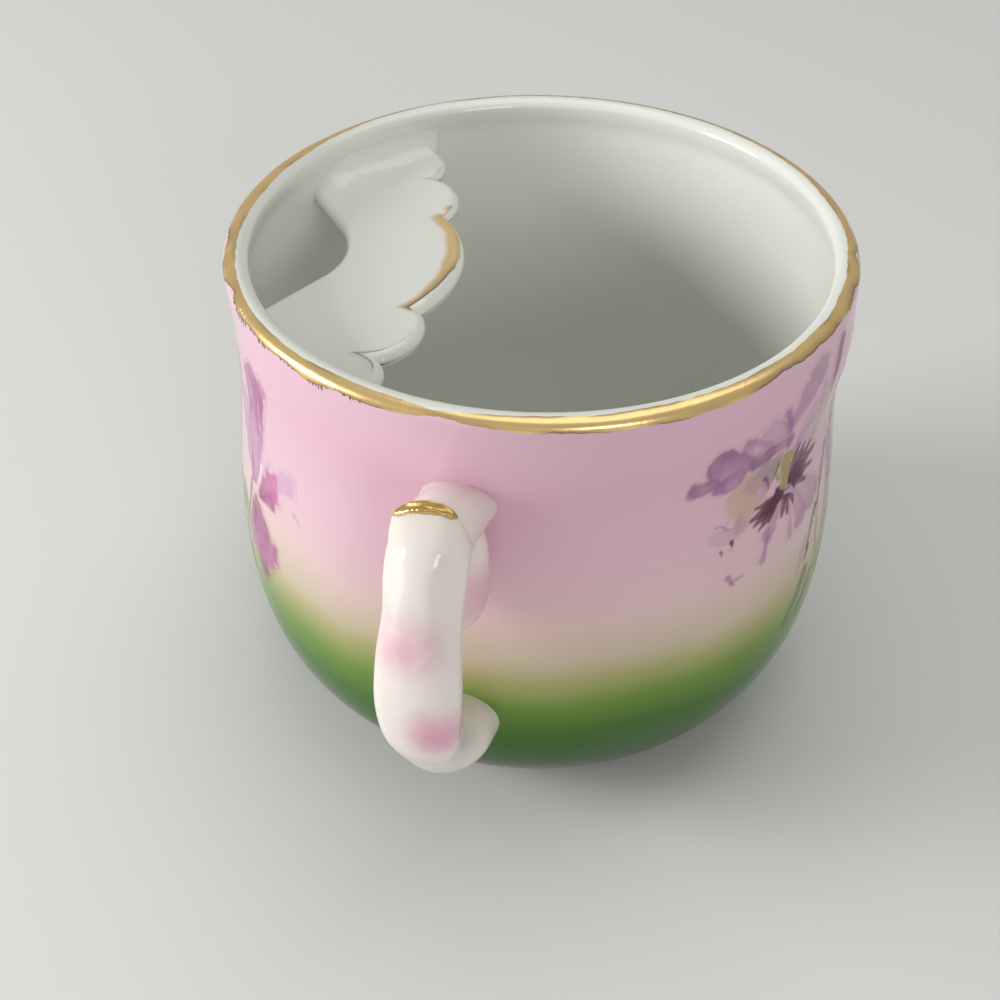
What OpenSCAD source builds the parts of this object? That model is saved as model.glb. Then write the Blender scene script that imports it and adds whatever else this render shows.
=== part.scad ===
// Porcelain moustache cup: a bellied bowl on a foot ring, a scroll handle, and a scalloped
// guard inside the lip that keeps a moustache dry. The origin is the centre of the foot
// ring on the table, +Z is up and the handle points along +X.

/* [Bowl] */
// Height of the cup, from the table to the top of the lip
cup_h = 86; // [76:0.5:96]
// Outside radius of the lip
rim_r = 48.8; // [46:0.1:53]
// Outside radius of the waist, the slight hollow under the lip
waist_r = 48.3; // [45:0.1:52]
// Drop of the waist below the top of the lip
waist_drop = 15; // [12:0.5:20]
// Outside radius of the belly
belly_r = 51; // [49:0.1:56]
// Height of the belly's widest ring above the table
belly_h = 36; // [30:0.5:42]
// Thickness of the wall at the lip
lip_t = 2.8; // [2:0.1:3.6]
// Thickness of the wall at the belly
wall_t = 3.2; // [2.4:0.1:4.5]
// Thickness of the floor
floor_t = 4.5; // [3:0.1:7]

/* [Foot ring] */
// Outside radius of the foot ring
foot_r = 27.6; // [22:0.1:34]
// Height of the foot ring
foot_h = 2; // [1.4:0.1:4]
// Width of the foot ring
foot_w = 3.2; // [2.4:0.1:6]
// Rounding of the foot ring's edges at the table
foot_round = 0.6; // [0.2:0.1:0.9]
// Width of the flat ledge under the bowl outside the foot ring
foot_ledge = 0.6; // [0.2:0.1:3]

/* [Moustache guard] */
// Angle from the handle to the middle of the guard, clockwise from above
guard_turn = 85; // [60:1:120]
// Drop of the guard's top face below the top of the lip
guard_drop = 6.8; // [5:0.1:12]
// Thickness of the guard
guard_t = 3; // [2:0.1:4.5]
// Width of the guard, from the wall to the front of its middle scallop
guard_w = 33.3; // [28:0.1:38]
// Radius of the fillet that blends the guard into the wall
guard_fillet = 2.6; // [1:0.1:4]
// Width of the drinking opening along the wall
sip_w = 35.6; // [28:0.1:42]
// Depth of the drinking opening, from the wall inwards
sip_d = 13.9; // [12:0.1:16]
// Radius of the drinking opening's rounded nose
sip_nose_r = 10.5; // [8:0.1:11.5]

/* [Handle] */
// Drop of the handle's upper arm below the top of the lip
handle_drop = 12; // [10:0.5:18]
// Height between the handle's two arms
handle_h = 47.5; // [42:0.5:52]
// Reach of the handle's middle line beyond the waist
handle_reach = 20.6; // [17:0.1:26]
// Width of the handle's strap
handle_w = 12.4; // [9:0.1:15]
// Thickness of the handle's strap
handle_t = 6.8; // [5:0.1:8.5]
// Height of the thumb crest above the handle's upper arm
crest_h = 9; // [8:0.1:11]
// Width of the thumb crest
crest_w = 8.8; // [6:0.1:11]
// Thickness of the thumb crest's edge
crest_t = 1.8; // [1.2:0.1:3]

/* [Gilding] */
// Thickness of the fired gilding
gilding_t = 0.15; // [0.1:0.05:0.3]
// Height of the gilt band below the top of the lip
rim_gilding_h = 2.8; // [2:0.1:6]
// Width of the gilt line on the guard
guard_line_w = 1.9; // [1:0.1:3]
// White edge left between the gilt line and the guard's edge
guard_line_inset = 1; // [0.5:0.1:2]
// Depth of the gilding on the thumb crest
crest_gilding_h = 1.4; // [0.8:0.1:2]

/* [Flower transfers] */
// Angle between the handle and the middle of each flower spray
spray_turn = 62; // [52:1:72]
// Gap between the gilt band and the top of each flower spray
spray_gap = 3.4; // [1:0.1:8]
// Height and width of each flower spray
spray_size = 46; // [36:0.5:50]
// Thickness of the fired transfer print
print_t = 0.12; // [0.1:0.02:0.3]

/* [Hidden] */
$fn = 120;
// Overrun of every cutting shape past the face that it cuts
over = 1;

// Heights and radii that follow from the sizes above
waist_h = cup_h - waist_drop;
lip_r = lip_t / 2;
lip_h = cup_h - lip_r;
floor_h = foot_h + floor_t;
base_r = foot_r + foot_ledge;
guard_h = cup_h - guard_drop;
gilding_h = cup_h - rim_gilding_h;
spray_h = gilding_h - spray_gap - spray_size / 2;
widest_r = max(rim_r, waist_r, belly_r);

// Number of straight steps in each stretch of the bowl's outline
base_steps = 16;
belly_steps = 12;
waist_steps = 5;
lip_steps = 8;
// Exponent of the curve from the belly down to the foot: 2 is an ellipse, more is fuller
base_power = 2.7;

// Radius of the outside at a height between the belly and the lip
function outside_r(z) =
    z < waist_h
    ? waist_r + (belly_r - waist_r) * (1 + cos(180 * (z - belly_h) / (waist_h - belly_h))) / 2
    : waist_r + (rim_r - waist_r) * pow((z - waist_h) / (lip_h - waist_h), 2);

// Thickness of the wall at a height between the belly and the lip
function wall_at(z) = wall_t + (lip_t - wall_t) * (z - belly_h) / (lip_h - belly_h);

// Radius of the inside at a height between the belly and the lip
function inside_r(z) = outside_r(z) - wall_at(z);

// Heights at which the outline above the belly has its points, from the belly up
function upper_heights() = [
    for (i = [0 : belly_steps - 1]) belly_h + (waist_h - belly_h) * i / belly_steps,
    for (i = [0 : waist_steps]) waist_h + (lip_h - waist_h) * i / waist_steps
];

// Curve from a flat of radius flat_r at height z0 out to radius r at the belly
function base_curve(flat_r, r, z0) = [
    for (i = [0 : base_steps - 1])
        let (a = 90 * i / base_steps)
        [flat_r + (r - flat_r) * sin(a), belly_h - (belly_h - z0) * pow(pow(cos(a), 2), 1 / base_power)]
];

// Half of the rounded lip, from angle a0 to angle a1 about its own centre, grown by grow
function lip_arc(a0, a1, grow = 0) = [
    for (i = [1 : lip_steps])
        let (a = a0 + (a1 - a0) * i / lip_steps, r = lip_r + grow)
        [rim_r - lip_r + r * cos(a), lip_h + r * sin(a)]
];

// Outline of the outside from the foot to the top of the lip, grown outwards by grow
function outside_line(grow = 0) = concat(
    [for (p = base_curve(base_r, belly_r, foot_h)) [p[0] + grow, p[1]]],
    [for (z = upper_heights()) [outside_r(z) + grow, z]],
    lip_arc(0, 90, grow)
);

inside_line = concat(
    base_curve(base_r - wall_t, belly_r - wall_t, floor_h),
    [for (z = upper_heights()) [inside_r(z), z]],
    lip_arc(180, 90)
);

// Points of a line from its last to its first
function reversed(line) = [for (i = [len(line) - 1 : -1 : 0]) line[i]];

// The bowl as if it were solid, for cutting what meets its outside, grown outwards by grow
module cup_blank(grow = 0)
    rotate_extrude()
        polygon(concat([[0, foot_h]], outside_line(grow), [[0, cup_h + grow]]));

// The space inside the bowl, for trimming what meets its inside
module cavity()
    rotate_extrude()
        polygon(concat([[0, floor_h]], inside_line, [[rim_r - lip_r, cup_h + over], [0, cup_h + over]]));

module bowl()
    color("pink")
        rotate_extrude()
            polygon(concat([[0, foot_h]], outside_line(), reversed(inside_line), [[0, floor_h]]));

module foot_ring() {
    // Quarter round of the ring's two lower edges, as [across, up] from the rounding's centre
    round_steps = 4;
    outer = [for (i = [0 : round_steps])
        let (a = -90 + 90 * i / round_steps)
        [foot_r - foot_round + foot_round * cos(a), foot_round + foot_round * sin(a)]];
    inner = [for (i = [0 : round_steps])
        let (a = 180 + 90 * i / round_steps)
        [foot_r - foot_w + foot_round + foot_round * cos(a), foot_round + foot_round * sin(a)]];
    color("ivory")
        rotate_extrude()
            polygon(concat(outer, [[foot_r, foot_h], [foot_r - foot_w, foot_h]], inner));
}

// Scallops of the guard on one side: distance of the centre from the wall, its place across
// the guard, and radius, all as shares of the guard's width
scallop_shares = [
    [0.288, 0, 0.712],
    [0.625, 0.565, 0.276],
    [0.583, 0.936, 0.198],
    [0.522, 1.162, 0.189]
];
// Depth of the plain part behind the scallops, as a share of the guard's width
guard_back_share = 0.6;

// The guard seen from above before the wall trims it, drawn back from its edge by inset
module guard_outline(inset = 0) {
    wall_r = inside_r(guard_h);
    for (scallop = scallop_shares, side = [-1, 1])
        translate([wall_r - scallop[0] * guard_w, side * scallop[1] * guard_w])
            circle(scallop[2] * guard_w - inset);
    back_x = wall_r - guard_back_share * guard_w;
    translate([back_x, -wall_r - over])
        square([wall_r + over - back_x, 2 * (wall_r + over)]);
}

// The drinking opening seen from above: a round nose with straight flanks to the wall
module sip_outline() {
    wall_r = inside_r(guard_h);
    nose_x = wall_r - sip_d + sip_nose_r;
    end_x = sqrt(pow(wall_r, 2) - pow(sip_w / 2, 2));
    end_d = norm([end_x - nose_x, sip_w / 2]);
    tangent_a = atan2(sip_w / 2, end_x - nose_x) + acos(sip_nose_r / end_d);
    tangent = [nose_x + sip_nose_r * cos(tangent_a), sip_nose_r * sin(tangent_a)];
    translate([nose_x, 0])
        circle(sip_nose_r);
    polygon([
        [nose_x, 0], tangent, [end_x, sip_w / 2], [wall_r + over, sip_w / 2],
        [wall_r + over, -sip_w / 2], [end_x, -sip_w / 2], [tangent[0], -tangent[1]]
    ]);
}

// Fillet between the guard's top face and the wall, as a full ring
module guard_fillet_ring() {
    fillet_steps = 6;
    wall_r = inside_r(guard_h);
    arc = [for (i = [0 : fillet_steps])
        let (a = -90 + 90 * i / fillet_steps)
        [wall_r - guard_fillet + guard_fillet * cos(a), guard_h + guard_fillet + guard_fillet * sin(a)]];
    rotate_extrude()
        polygon(concat(arc, [
            [wall_r + over, guard_h + guard_fillet], [wall_r + over, guard_h - guard_t / 2],
            [wall_r - guard_fillet, guard_h - guard_t / 2]
        ]));
}

module moustache_guard()
    color("white")
        rotate([0, 0, -guard_turn])
            intersection() {
                cavity();
                union() {
                    translate([0, 0, guard_h - guard_t])
                        linear_extrude(guard_t)
                            guard_outline();
                    guard_fillet_ring();
                }
                translate([0, 0, guard_h - guard_t - over])
                    linear_extrude(guard_t + guard_fillet + 2 * over)
                        difference() {
                            guard_outline();
                            sip_outline();
                        }
            }

// Stations of the handle's strap from its upper to its lower end: reach beyond the bowl as
// a share of handle_reach, drop below the upper arm as a share of handle_h, then width and
// thickness as shares of the strap's
strap_shares = [
    [-0.224, 0.105, 1.14, 1.35],
    [0.126, 0.038, 0.98, 1.22],
    [0.373, 0.004, 0.88, 1.12],
    [0.577, 0.006, 0.86, 1.08],
    [0.704, 0.076, 0.88, 1.06],
    [0.774, 0.200, 0.92, 1.05],
    [0.843, 0.345, 0.94, 1.03],
    [0.898, 0.490, 1.00, 1.00],
    [0.866, 0.640, 1.00, 1.00],
    [0.725, 0.784, 0.97, 1.03],
    [0.485, 0.906, 0.94, 1.09],
    [0.181, 0.984, 0.97, 1.20],
    [-0.342, 1.010, 1.08, 1.40]
];
// Stations of the leaf that curls down inside the upper arm, close to the bowl
leaf_shares = [
    [0.296, 0.03, 0.50, 0.80],
    [0.253, 0.13, 0.94, 1.26],
    [0.239, 0.24, 1.02, 1.34],
    [0.254, 0.35, 0.88, 1.10],
    [0.274, 0.43, 0.44, 0.56]
];
strap_power = 2.4;
rings_per_step = 4;
ring_sides = 28;

// Smooth curve through the stations, at step i and fraction f of the way to the next
function along(table, i, f) =
    let (a = table[max(i - 1, 0)], b = table[i], c = table[i + 1], d = table[min(i + 2, len(table) - 1)])
    b + f * (c - a) / 2 + f * f * (a - 2.5 * b + 2 * c - d / 2) + f * f * f * (1.5 * (b - c) + (d - a) / 2);

function all_along(table) = [
    for (i = [0 : len(table) - 2], j = [0 : rings_per_step - 1]) along(table, i, j / rings_per_step),
    table[len(table) - 1]
];

// Place of a station: its reach starts at the waist at the upper arm, at the belly at the lower
function handle_x(s) = waist_r + (belly_r - waist_r) * s[1] + handle_reach * s[0];
function handle_z(s) = cup_h - handle_drop - handle_h * s[1];

// One ring of points square to the curve, a rounded rectangle of power strap_power
function handle_ring(stations, k) =
    let (
        s = stations[k],
        back = stations[max(k - 1, 0)],
        ahead = stations[min(k + 1, len(stations) - 1)],
        along_x = handle_x(ahead) - handle_x(back),
        along_z = handle_z(ahead) - handle_z(back),
        length = norm([along_x, along_z]),
        x = handle_x(s),
        z = handle_z(s)
    )
    [for (j = [0 : ring_sides - 1])
        let (
            a = 360 * j / ring_sides,
            across = sign(cos(a)) * pow(abs(cos(a)), 2 / strap_power) * s[2] * handle_w / 2,
            out = sign(sin(a)) * pow(abs(sin(a)), 2 / strap_power) * s[3] * handle_t / 2
        )
        [x - out * along_z / length, across, z + out * along_x / length]];

// Closed tube through the rings of a table of stations
module handle_tube(table) {
    stations = all_along(table);
    rings = [for (k = [0 : len(stations) - 1]) handle_ring(stations, k)];
    last = len(rings) - 1;
    n = ring_sides;
    points = [for (ring = rings, p = ring) p];
    sides = [for (k = [0 : last - 1], j = [0 : n - 1], half = [0, 1])
        let (a = k * n + j, b = k * n + (j + 1) % n)
        half == 0 ? [a, b + n, b] : [a, a + n, b + n]];
    ends = [for (j = [1 : n - 2], end = [0, 1])
        end == 0 ? [0, j, j + 1] : [last * n, last * n + j + 1, last * n + j]];
    polyhedron(points, concat(sides, ends));
}

// Thumb crest: a leaf tip that rises from the upper arm to an arched edge, grown by grow
module thumb_crest(grow = 0) {
    crest_x = handle_x(strap_shares[3]);
    arm_h = cup_h - handle_drop;
    side_r = crest_w / 5;
    middle_r = crest_w / 3;
    root_r = handle_t / 2;
    hull() {
        translate([crest_x, 0, arm_h])
            rotate([90, 0, 0])
                cylinder(r = root_r + grow, h = crest_w - root_r, center = true, $fn = 32);
        translate([crest_x - grow, 0, arm_h + crest_h - middle_r])
            rotate([0, 90, 0])
                cylinder(r = middle_r + grow, h = crest_t + 2 * grow, $fn = 32);
        for (side = [-1, 1])
            translate([crest_x - grow, side * (crest_w / 2 - side_r), arm_h + crest_h - middle_r])
                rotate([0, 90, 0])
                    cylinder(r = side_r + grow, h = crest_t + 2 * grow, $fn = 32);
    }
}

module handle()
    color("seashell")
        difference() {
            union() {
                handle_tube(strap_shares);
                handle_tube(leaf_shares);
                thumb_crest();
            }
            cup_blank();
        }

module rim_gilding()
    color("gold")
        difference() {
            intersection() {
                cup_blank(gilding_t);
                translate([0, 0, gilding_h])
                    cylinder(r = widest_r + over, h = rim_gilding_h);
            }
            cup_blank();
            translate([0, 0, lip_h])
                cylinder(r = rim_r - lip_r / 2, h = lip_r + over);
        }

module guard_gilding()
    color("gold")
        rotate([0, 0, -guard_turn])
            intersection() {
                cavity();
                translate([0, 0, guard_h])
                    linear_extrude(gilding_t)
                        difference() {
                            guard_outline(guard_line_inset);
                            guard_outline(guard_line_inset + guard_line_w);
                        }
            }

module crest_gilding()
    color("gold")
        difference() {
            thumb_crest(gilding_t);
            thumb_crest();
            translate([0, -crest_w, 0])
                cube([waist_r + 2 * handle_reach, 2 * crest_w, cup_h - handle_drop + crest_h - crest_gilding_h]);
        }

// Petals of a viola as [across, up, radius], in shares of the blossom's size
petal_shares = [[0.24, 0.24, 0.28], [-0.24, 0.24, 0.28], [0.28, -0.06, 0.25], [-0.28, -0.06, 0.25], [0, -0.24, 0.3]];
// Blossoms as [across, up, size, turn], the first three in shares of the spray's size
right_blossom_shares = [[-0.08, 0.16, 0.56, 12], [0.32, 0.3, 0.4, -20], [0.06, -0.2, 0.38, 5], [-0.3, -0.12, 0.2, 30]];
left_blossom_shares = [[0.26, 0.32, 0.4, 15], [0.3, -0.03, 0.36, -10], [0.3, -0.33, 0.32, 8], [-0.16, 0.1, 0.52, -15]];
// Leaves as [across, up, length, turn], in the same shares
right_leaf_shares = [[0.3, -0.08, 0.3, -35], [0.3, -0.34, 0.32, 40], [-0.12, -0.4, 0.28, -60]];
left_leaf_shares = [[0.06, -0.2, 0.28, 40], [-0.14, -0.36, 0.3, -30], [-0.36, -0.2, 0.26, 50]];

module blossom(size)
    for (petal = petal_shares)
        translate([petal[0] * size, petal[1] * size])
            circle(petal[2] * size);

// A pointed leaf between two arcs, lying along X
module leaf(length) {
    arc_r = 0.7 * length;
    intersection_for(side = [-1, 1])
        translate([0, side * sqrt(pow(arc_r, 2) - pow(length / 2, 2))])
            circle(arc_r);
}

module flower_spray(turn, blossoms, leaves)
    difference() {
        intersection() {
            cup_blank(print_t);
            rotate([0, 0, turn])
                translate([0, 0, spray_h])
                    rotate([90, 0, 90])
                        linear_extrude(widest_r + over) {
                            for (b = blossoms)
                                translate([b[0] * spray_size, b[1] * spray_size])
                                    rotate(b[3])
                                        blossom(b[2] * spray_size);
                            for (l = leaves)
                                translate([l[0] * spray_size, l[1] * spray_size])
                                    rotate(l[3])
                                        leaf(l[2] * spray_size);
                        }
        }
        cup_blank();
    }

module right_spray()
    color("mediumpurple")
        flower_spray(spray_turn, right_blossom_shares, right_leaf_shares);

module left_spray()
    color("orchid")
        flower_spray(-spray_turn, left_blossom_shares, left_leaf_shares);

bowl();
foot_ring();
moustache_guard();
handle();
rim_gilding();
guard_gilding();
crest_gilding();
right_spray();
left_spray();
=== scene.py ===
import math

import bmesh
import bpy
import numpy as np
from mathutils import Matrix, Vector


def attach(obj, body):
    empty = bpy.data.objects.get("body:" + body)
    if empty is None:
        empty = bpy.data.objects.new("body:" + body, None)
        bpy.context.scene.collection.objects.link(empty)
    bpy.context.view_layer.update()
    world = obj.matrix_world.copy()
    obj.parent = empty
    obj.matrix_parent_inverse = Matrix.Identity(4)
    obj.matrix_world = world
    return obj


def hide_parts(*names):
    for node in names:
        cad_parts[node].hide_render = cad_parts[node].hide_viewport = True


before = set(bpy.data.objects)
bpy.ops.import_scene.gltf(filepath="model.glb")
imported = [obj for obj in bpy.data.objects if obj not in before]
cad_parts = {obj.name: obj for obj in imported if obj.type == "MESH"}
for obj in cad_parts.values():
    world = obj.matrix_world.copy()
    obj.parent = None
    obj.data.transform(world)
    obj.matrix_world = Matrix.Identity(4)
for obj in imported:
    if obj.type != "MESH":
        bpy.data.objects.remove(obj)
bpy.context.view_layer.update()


# The bowl. Turned hard porcelain, bellied, with a rounded lip and a thick floor. It is glazed
# all over, white inside, and sprayed outside with ground colours before the last firing.
WAIST_RADIUS, BELLY_RADIUS, RIM_RADIUS = 0.0483, 0.0510, 0.0488
CUP_HEIGHT, WAIST_HEIGHT, BELLY_HEIGHT = 0.0860, 0.0710, 0.0360
LIP_RADIUS, WALL_THICKNESS, LIP_THICKNESS = 0.0014, 0.0032, 0.0028
LIP_ROLL, LIP_ROLL_REACH, LIP_HALF, ROOM_FOR_GOLD = 0.0010, 0.0042, 0.0019, 0.00005
LIP_HEIGHT = CUP_HEIGHT - LIP_RADIUS - ROOM_FOR_GOLD
FOOT_HEIGHT, FOOT_RADIUS, FOOT_WIDTH = 0.0020, 0.0276, 0.0032
FLOOR_HEIGHT, BASE_RADIUS, BASE_POWER = 0.0065, 0.0282, 2.7
UNEVENNESS, SWELL, SWELL_HEIGHT = 0.00012, 0.0011, 0.0755
SWELL_REACH, SWELL_ANGLE = 0.0065, 1.45
BOWL_SIDES, WHITE_FROM = 256, 0.72


def new_object(name, data):
    """A new object with its data, in the scene."""
    made = bpy.data.objects.new(name, data)
    bpy.context.scene.collection.objects.link(made)
    return made


def four_sided(name, points, cells):
    """Mesh of four-sided faces, each of which is the numbers of its four points, and the
    numbers of the points that it uses."""
    used, cells = np.unique(cells, return_inverse=True)
    mesh = bpy.data.meshes.new(name)
    mesh.vertices.add(len(used))
    mesh.vertices.foreach_set("co", points.reshape(-1, 3)[used].astype(np.float32).ravel())
    mesh.loops.add(cells.size)
    mesh.loops.foreach_set("vertex_index", cells.astype(np.int32).ravel())
    mesh.polygons.add(cells.size // 4)
    mesh.polygons.foreach_set("loop_start", np.arange(0, cells.size, 4, dtype=np.int32))
    mesh.update(calc_edges=True)
    mesh.validate()
    mesh.shade_smooth()
    return new_object(name, mesh), used


def surface(name, points, wrap_rows=False, wrap_columns=False, keep=None):
    """Mesh through a grid of points (rows, columns, 3), one quad in each cell.
    A wrapped direction joins its last line to its first, and keep leaves out the cells
    where it is false. Faces point along the column direction crossed with the row direction."""
    rows, columns = points.shape[:2]
    index = np.arange(rows * columns).reshape(rows, columns)
    if wrap_rows:
        index = np.vstack([index, index[:1]])
    if wrap_columns:
        index = np.hstack([index, index[:, :1]])
    cells = np.stack([index[:-1, :-1], index[:-1, 1:], index[1:, 1:], index[1:, :-1]], -1)
    cells = cells.reshape(-1, 4) if keep is None else cells[keep]
    return four_sided(name, points, cells)


def welded(piece, distance=1e-7):
    """Merges the piece's doubled points, such as those at a pole of the grid."""
    shape = bmesh.new()
    shape.from_mesh(piece.data)
    bmesh.ops.remove_doubles(shape, verts=shape.verts, dist=distance)
    bmesh.ops.dissolve_degenerate(shape, dist=distance, edges=shape.edges)
    shape.to_mesh(piece.data)
    shape.free()
    piece.data.shade_smooth()


def outside_radius(height):
    """Radius of the bowl's outside: a quarter of a superellipse from the foot to the belly,
    half a cosine from the belly to the waist, and a parabola from the waist to the lip."""
    low = np.clip((BELLY_HEIGHT - height) / (BELLY_HEIGHT - FOOT_HEIGHT), 0, 1)
    base = BASE_RADIUS + (BELLY_RADIUS - BASE_RADIUS) * np.sqrt(1 - low ** BASE_POWER)
    turn = np.pi * (height - BELLY_HEIGHT) / (WAIST_HEIGHT - BELLY_HEIGHT)
    middle = WAIST_RADIUS + (BELLY_RADIUS - WAIST_RADIUS) * (1 + np.cos(turn)) / 2
    flare = (height - WAIST_HEIGHT) / (LIP_HEIGHT - WAIST_HEIGHT)
    top = WAIST_RADIUS + (RIM_RADIUS - WAIST_RADIUS) * flare ** 2
    return np.where(height < BELLY_HEIGHT, base, np.where(height < WAIST_HEIGHT, middle, top))


def soft_step(value, low, high):
    """Rises smoothly from 0 at low to 1 at high."""
    share = np.clip((value - low) / (high - low), 0, 1)
    return share * share * (3 - 2 * share)


def hump(value, middle, width, power=2):
    """Falls smoothly from 1 at the middle to 0 on both sides, with a flatter top for power 4."""
    return np.exp(-((value - middle) / width) ** power)


def inside_radius(height):
    """Radius of the bowl's inside above the belly: the outside less a wall that thins upwards,
    and that is rolled thicker again just below the lip."""
    share = (height - BELLY_HEIGHT) / (LIP_HEIGHT - BELLY_HEIGHT)
    roll = LIP_ROLL * soft_step(height, LIP_HEIGHT - LIP_ROLL_REACH, LIP_HEIGHT)
    return outside_radius(height) - WALL_THICKNESS - (LIP_THICKNESS - WALL_THICKNESS) * share - roll


def turned(radius, angle, height):
    """Point of the bowl at a radius, angle and height, drawn in a little all round, as a
    hand-finished wall is: two slow waves round the bowl, one of which leans with the height.
    On the handle's right the firing has swelled the wall a little below the lip."""
    waves = np.sin(2 * angle + 0.6) + 0.6 * np.sin(3 * angle + 40 * height)
    drawn = radius - UNEVENNESS * (1.6 + waves) / 2 * np.clip(height / WAIST_HEIGHT, 0, 1)
    right = np.clip(np.cos(angle - SWELL_ANGLE), 0, 1) ** 2
    drawn += SWELL * (hump(height, SWELL_HEIGHT, SWELL_REACH) * right)
    return np.stack([drawn * np.cos(angle), drawn * np.sin(angle), height + 0 * angle], -1)


def bowl_profile():
    """Radius and height along the bowl's wall, from the middle of its underside, up the
    outside, over the lip and down the inside to the middle of the floor."""
    rise = np.linspace(0, np.pi / 2, 44)[1:]
    up = np.linspace(BELLY_HEIGHT, LIP_HEIGHT, 60)[1:]
    over = np.linspace(0, np.pi, 32)[1:]
    inner_base = BASE_RADIUS - WALL_THICKNESS
    inner_belly = BELLY_RADIUS - WALL_THICKNESS
    under = np.linspace(0, BASE_RADIUS, 12)
    floor = np.linspace(inner_base, 0, 14)[1:]
    drop = np.cos(rise) ** (2 / BASE_POWER)
    radius = [
        under, BASE_RADIUS + (BELLY_RADIUS - BASE_RADIUS) * np.sin(rise), outside_radius(up),
        RIM_RADIUS - LIP_HALF + LIP_HALF * np.cos(over), inside_radius(up[::-1])[1:],
        inner_base + (inner_belly - inner_base) * np.sin(rise[::-1]), [inner_base], floor,
    ]
    height = [
        0 * under + FOOT_HEIGHT, BELLY_HEIGHT - (BELLY_HEIGHT - FOOT_HEIGHT) * drop, up,
        LIP_HEIGHT + LIP_RADIUS * np.sin(over), up[::-1][1:],
        BELLY_HEIGHT - (BELLY_HEIGHT - FLOOR_HEIGHT) * drop[::-1], [FLOOR_HEIGHT],
        0 * floor + FLOOR_HEIGHT,
    ]
    return np.concatenate(radius), np.concatenate(height)


def new_material(name):
    """A material with its Principled shader linked to its output, and that shader."""
    material = bpy.data.materials.new(name)
    material.use_nodes = True
    return material, material.node_tree.nodes["Principled BSDF"]


def feed(material, node, inputs):
    """Gives a shader node its inputs by their names or numbers: a value, or a socket to link."""
    for name, value in inputs.items():
        if isinstance(value, bpy.types.NodeSocket):
            material.node_tree.links.new(value, node.inputs[name])
        else:
            node.inputs[name].default_value = value


def add(material, kind, inputs=None, **settings):
    """One more shader node, with its settings and its inputs."""
    made = material.node_tree.nodes.new("ShaderNode" + kind)
    for name, value in settings.items():
        setattr(made, name, value)
    feed(material, made, inputs or {})
    return made


def place(material):
    """The Object coordinates, in metres."""
    return add(material, "TexCoord").outputs["Object"]


def noise(material, size, detail=2.0, rough=0.5):
    """Soft noise from 0 to 1, whose patches are about size metres across."""
    inputs = {"Vector": place(material), "Scale": 1 / size, "Detail": detail, "Roughness": rough}
    return add(material, "TexNoise", inputs).outputs["Fac"]


def bumps(material, size, detail, strength, depth):
    """The normal of a surface made uneven by soft noise, depth metres deep at most."""
    inputs = {"Height": noise(material, size, detail), "Strength": strength, "Distance": depth}
    return add(material, "Bump", inputs).outputs["Normal"]


def stretched(material, value, low, high, to_low=0.0, to_high=1.0):
    """A value taken smoothly from the range low to high into the range to_low to to_high."""
    inputs = {"Value": value, "From Min": low, "From Max": high, "To Min": to_low, "To Max": to_high}
    return add(material, "MapRange", inputs, interpolation_type="SMOOTHSTEP").outputs["Result"]


def reckoned(material, how, first, second):
    """The result of one of Blender's operations on two values or sockets."""
    return add(material, "Math", {0: first, 1: second}, operation=how).outputs[0]


def mixed(material, share, first, second):
    """Two colours mixed, from first at a share of 0 to second at 1."""
    return add(material, "MixRGB", {"Fac": share, "Color1": first, "Color2": second}).outputs["Color"]


def ground_colour_and_shade(material):
    """The sprayed ground colours by height, green below, beige between and pink above, with
    the border and the depth of the pink varied by soft noise. The greens darken towards the
    foot, partly as the sprayed green's own depth and partly as painted shade of the underside."""
    height = add(material, "SeparateXYZ", {"Vector": place(material)}).outputs["Z"]
    drift = add(material, "MapRange", {"Value": noise(material, 0.03), "To Min": -0.003, "To Max": 0.003})
    moved = reckoned(material, "ADD", height, drift.outputs["Result"])
    share = reckoned(material, "DIVIDE", moved, CUP_HEIGHT)
    ramp = add(material, "ValToRGB", {"Fac": share})
    stops = ramp.color_ramp.elements
    stops.remove(stops[1])
    # The lowest, darkest greens are partly the dense sprayed green and partly painted shade where the wall
    # turns under to the foot.
    stops[0].position, stops[0].color = 0, (0.008, 0.032, 0.004, 1)
    for at, colour in (
        (0.17, (0.011, 0.06, 0.003)), (0.30, (0.036, 0.136, 0.006)),
        (0.38, (0.138, 0.255, 0.03)), (0.44, (0.37, 0.37, 0.15)), (0.49, (0.57, 0.48, 0.35)),
        (0.57, (0.7, 0.525, 0.52)), (0.68, (0.74, 0.495, 0.585)), (0.86, (0.73, 0.455, 0.57)),
        (1.00, (0.74, 0.49, 0.6)),
    ):
        stop = stops.new(at)
        stop.color = (*colour, 1)
    patch = stretched(material, noise(material, 0.028, 1.0), 0.45, 0.75, 0.0, 0.35)
    pink = reckoned(material, "MULTIPLY", patch, stretched(material, moved, 0.045, 0.065))
    return mixed(material, pink, ramp.outputs["Color"], (0.69, 0.37, 0.5, 1))


def glazed(name, colour_of, ripple=0.02, shine=0.5, rough=0.09):
    """Clear glaze over a colour: bright and smooth, with a faint ripple of its own."""
    material, shader = new_material(name)
    feed(material, shader, {
        "Base Color": colour_of(material), "Roughness": rough, "IOR": 1.5, "Specular IOR Level": shine,
        "Normal": bumps(material, 0.006, 1.0, ripple, 0.001),
    })
    return material


def white_colour(material):
    """White porcelain under clear glaze, a little warm and green, with faint cloudy patches."""
    cloud = noise(material, 0.02, 3.0)
    return mixed(material, cloud, (0.775, 0.785, 0.725, 1), (0.825, 0.83, 0.79, 1))


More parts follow.
